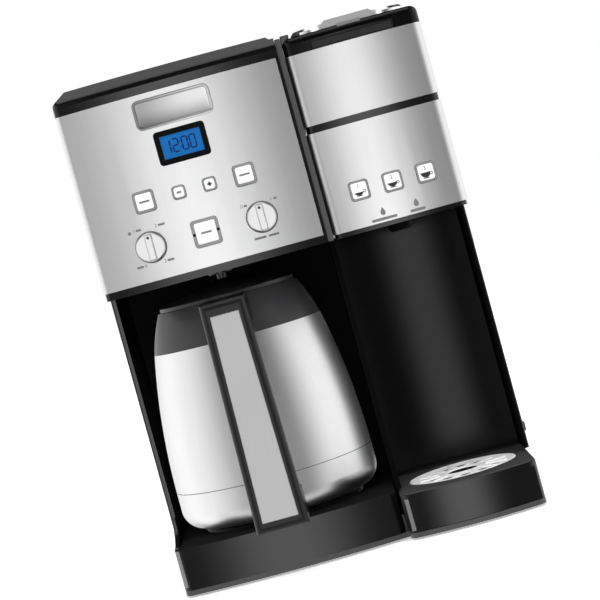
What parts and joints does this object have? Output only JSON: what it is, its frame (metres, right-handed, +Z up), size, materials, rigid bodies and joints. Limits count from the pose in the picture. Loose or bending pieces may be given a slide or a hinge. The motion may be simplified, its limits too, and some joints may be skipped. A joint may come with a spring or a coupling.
{
  "type": "drip coffee maker",
  "caption": "Countertop drip coffee maker with a thermal carafe on one side and a hinged single-serve brewer with cup bay, drip tray and lift-off water tank on the other.",
  "frame": {"origin": "middle of the footprint, on the plane of the feet", "axes": "+Z up, -Y towards the front with the controls, +X to the right as seen from the front"},
  "size_m": [0.3, 0.324, 0.4165],
  "materials": {
    "gloss_black": "moulded gloss black plastic",
    "charcoal": "satin charcoal plastic",
    "steel": "brushed stainless steel",
    "chrome": "bright chromed trim",
    "silver_button": "silver painted plastic",
    "screen": "blue backlit display",
    "smoke_clear": "smoke-tinted clear plastic",
    "rubber": "black rubber",
    "aluminium": "cast aluminium",
    "board": "circuit board",
    "silicone": "silicone hose",
    "white_plastic": "natural plastic",
    "screw_steel": "zinc-plated steel",
    "mesh": "plastic filter basket"
  },
  "bodies": {
    "root": {"base_housing": "gloss_black", "basket_holder": "gloss_black", "bay_back_panel": "gloss_black", "boiler": "aluminium", "bottom_cover": "charcoal", "brew_deck": "gloss_black", "brew_head_housing": "gloss_black", "brew_spout": "gloss_black", "carafe_plate": "gloss_black", "circuit_boards": "board", "control_panel": "steel", "cord_gland": "gloss_black", "display_bezel": "gloss_black", "display_window": "screen", "divider_panel": "charcoal", "filter_basket": "mesh", "head_housing": "gloss_black", "heater": "aluminium", "hinge_pins": "screw_steel", "housing_screws": "screw_steel", "left_side_panel": "gloss_black", "lower_fascia": "steel", "pod_holder": "gloss_black", "pump": "white_plastic", "rear_panel": "gloss_black", "right_side_panel": "gloss_black", "rubber_feet": "rubber", "shower_head": "white_plastic", "tower_front_panel": "gloss_black", "water_hoses": "silicone", "water_tank": "smoke_clear"},
    "reservoir_lid": {"reservoir_lid": "gloss_black"},
    "brew_lid": {"brew_lid_shell": "gloss_black", "brew_lid_band": "steel", "brew_lid_cap": "gloss_black", "brew_lid_trim": "chrome", "inlet_needle": "steel", "needle_seal": "rubber"},
    "carafe": {"carafe_shell": "steel", "carafe_base": "steel", "carafe_liner": "steel", "carafe_collar": "charcoal", "carafe_handle": "gloss_black", "handle_insert": "steel"},
    "carafe_lid": {"carafe_lid": "charcoal"},
    "drip_tray": {"drip_tray": "gloss_black"},
    "drip_plate": {"drip_plate": "steel"},
    "side_tank": {"side_tank": "smoke_clear"},
    "side_tank_lid": {"side_tank_lid": "gloss_black"},
    "drip_stop_valve": {"drip_stop_valve": "gloss_black"},
    "left_button": {"left_button": "silver_button"},
    "hour_button": {"hour_button": "silver_button"},
    "minute_button": {"minute_button": "silver_button"},
    "right_button": {"right_button": "silver_button"},
    "start_button": {"start_button": "silver_button"},
    "small_cup_button": {"small_cup_button": "silver_button"},
    "medium_cup_button": {"medium_cup_button": "silver_button"},
    "large_cup_button": {"large_cup_button": "silver_button"},
    "left_knob": {"left_knob": "silver_button"},
    "right_knob": {"right_knob": "silver_button"}
  },
  "joints": [
    {"name": "reservoir_lid_hinge", "type": "hinge", "parent": "root", "child": "reservoir_lid", "pos_m": [-0.058, 0.154, 0.406], "axis": [-1, 0, 0], "range_deg": [0, 95]},
    {"name": "brew_lid_hinge", "type": "hinge", "parent": "root", "child": "brew_lid", "pos_m": [0.0945, 0.07, 0.403], "axis": [-1, 0, 0], "range_deg": [0, 75]},
    {"name": "carafe_slide", "type": "slide", "parent": "root", "child": "carafe", "axis": [0, -1, 0], "range_m": [0, 0.2]},
    {"name": "carafe_lid_twist", "type": "hinge", "parent": "carafe", "child": "carafe_lid", "pos_m": [-0.0585, -0.026, 0.224], "axis": [0, 0, 1], "range_deg": [0, 90]},
    {"name": "drip_tray_slide", "type": "slide", "parent": "root", "child": "drip_tray", "axis": [0, -1, 0], "range_m": [0, 0.11]},
    {"name": "drip_plate_lift", "type": "slide", "parent": "drip_tray", "child": "drip_plate", "axis": [0, 0, 1], "range_m": [0, 0.04]},
    {"name": "side_tank_lift", "type": "slide", "parent": "root", "child": "side_tank", "axis": [0, 0, 1], "range_m": [0, 0.22]},
    {"name": "side_tank_lid_lift", "type": "slide", "parent": "side_tank", "child": "side_tank_lid", "axis": [0, 0, 1], "range_m": [0, 0.05]},
    {"name": "drip_stop_lift", "type": "slide", "parent": "root", "child": "drip_stop_valve", "axis": [0, 0, 1], "range_m": [0, 0.004], "stiffness_N_per_m": 150, "springref_m": -0.002},
    {"name": "left_knob_turn", "type": "hinge", "parent": "root", "child": "left_knob", "pos_m": [-0.1026, -0.116, 0.279], "axis": [0, 1, 0], "range_deg": [-135, 135]},
    {"name": "right_knob_turn", "type": "hinge", "parent": "root", "child": "right_knob", "pos_m": [-0.0118, -0.116, 0.279], "axis": [0, 1, 0], "range_deg": [-45, 45]},
    {"name": "left_button_press", "type": "slide", "parent": "root", "child": "left_button", "axis": [0, 1, 0], "range_m": [0, 0.0015], "stiffness_N_per_m": 300, "springref_m": -0.001},
    {"name": "hour_button_press", "type": "slide", "parent": "root", "child": "hour_button", "axis": [0, 1, 0], "range_m": [0, 0.0015], "stiffness_N_per_m": 300, "springref_m": -0.001},
    {"name": "minute_button_press", "type": "slide", "parent": "root", "child": "minute_button", "axis": [0, 1, 0], "range_m": [0, 0.0015], "stiffness_N_per_m": 300, "springref_m": -0.001},
    {"name": "right_button_press", "type": "slide", "parent": "root", "child": "right_button", "axis": [0, 1, 0], "range_m": [0, 0.0015], "stiffness_N_per_m": 300, "springref_m": -0.001},
    {"name": "start_button_press", "type": "slide", "parent": "root", "child": "start_button", "axis": [0, 1, 0], "range_m": [0, 0.0015], "stiffness_N_per_m": 300, "springref_m": -0.001},
    {"name": "small_cup_button_press", "type": "slide", "parent": "root", "child": "small_cup_button", "axis": [0, 1, 0], "range_m": [0, 0.0015], "stiffness_N_per_m": 300, "springref_m": -0.001},
    {"name": "medium_cup_button_press", "type": "slide", "parent": "root", "child": "medium_cup_button", "axis": [0, 1, 0], "range_m": [0, 0.0015], "stiffness_N_per_m": 300, "springref_m": -0.001},
    {"name": "large_cup_button_press", "type": "slide", "parent": "root", "child": "large_cup_button", "axis": [0, 1, 0], "range_m": [0, 0.0015], "stiffness_N_per_m": 300, "springref_m": -0.001}
  ]
}
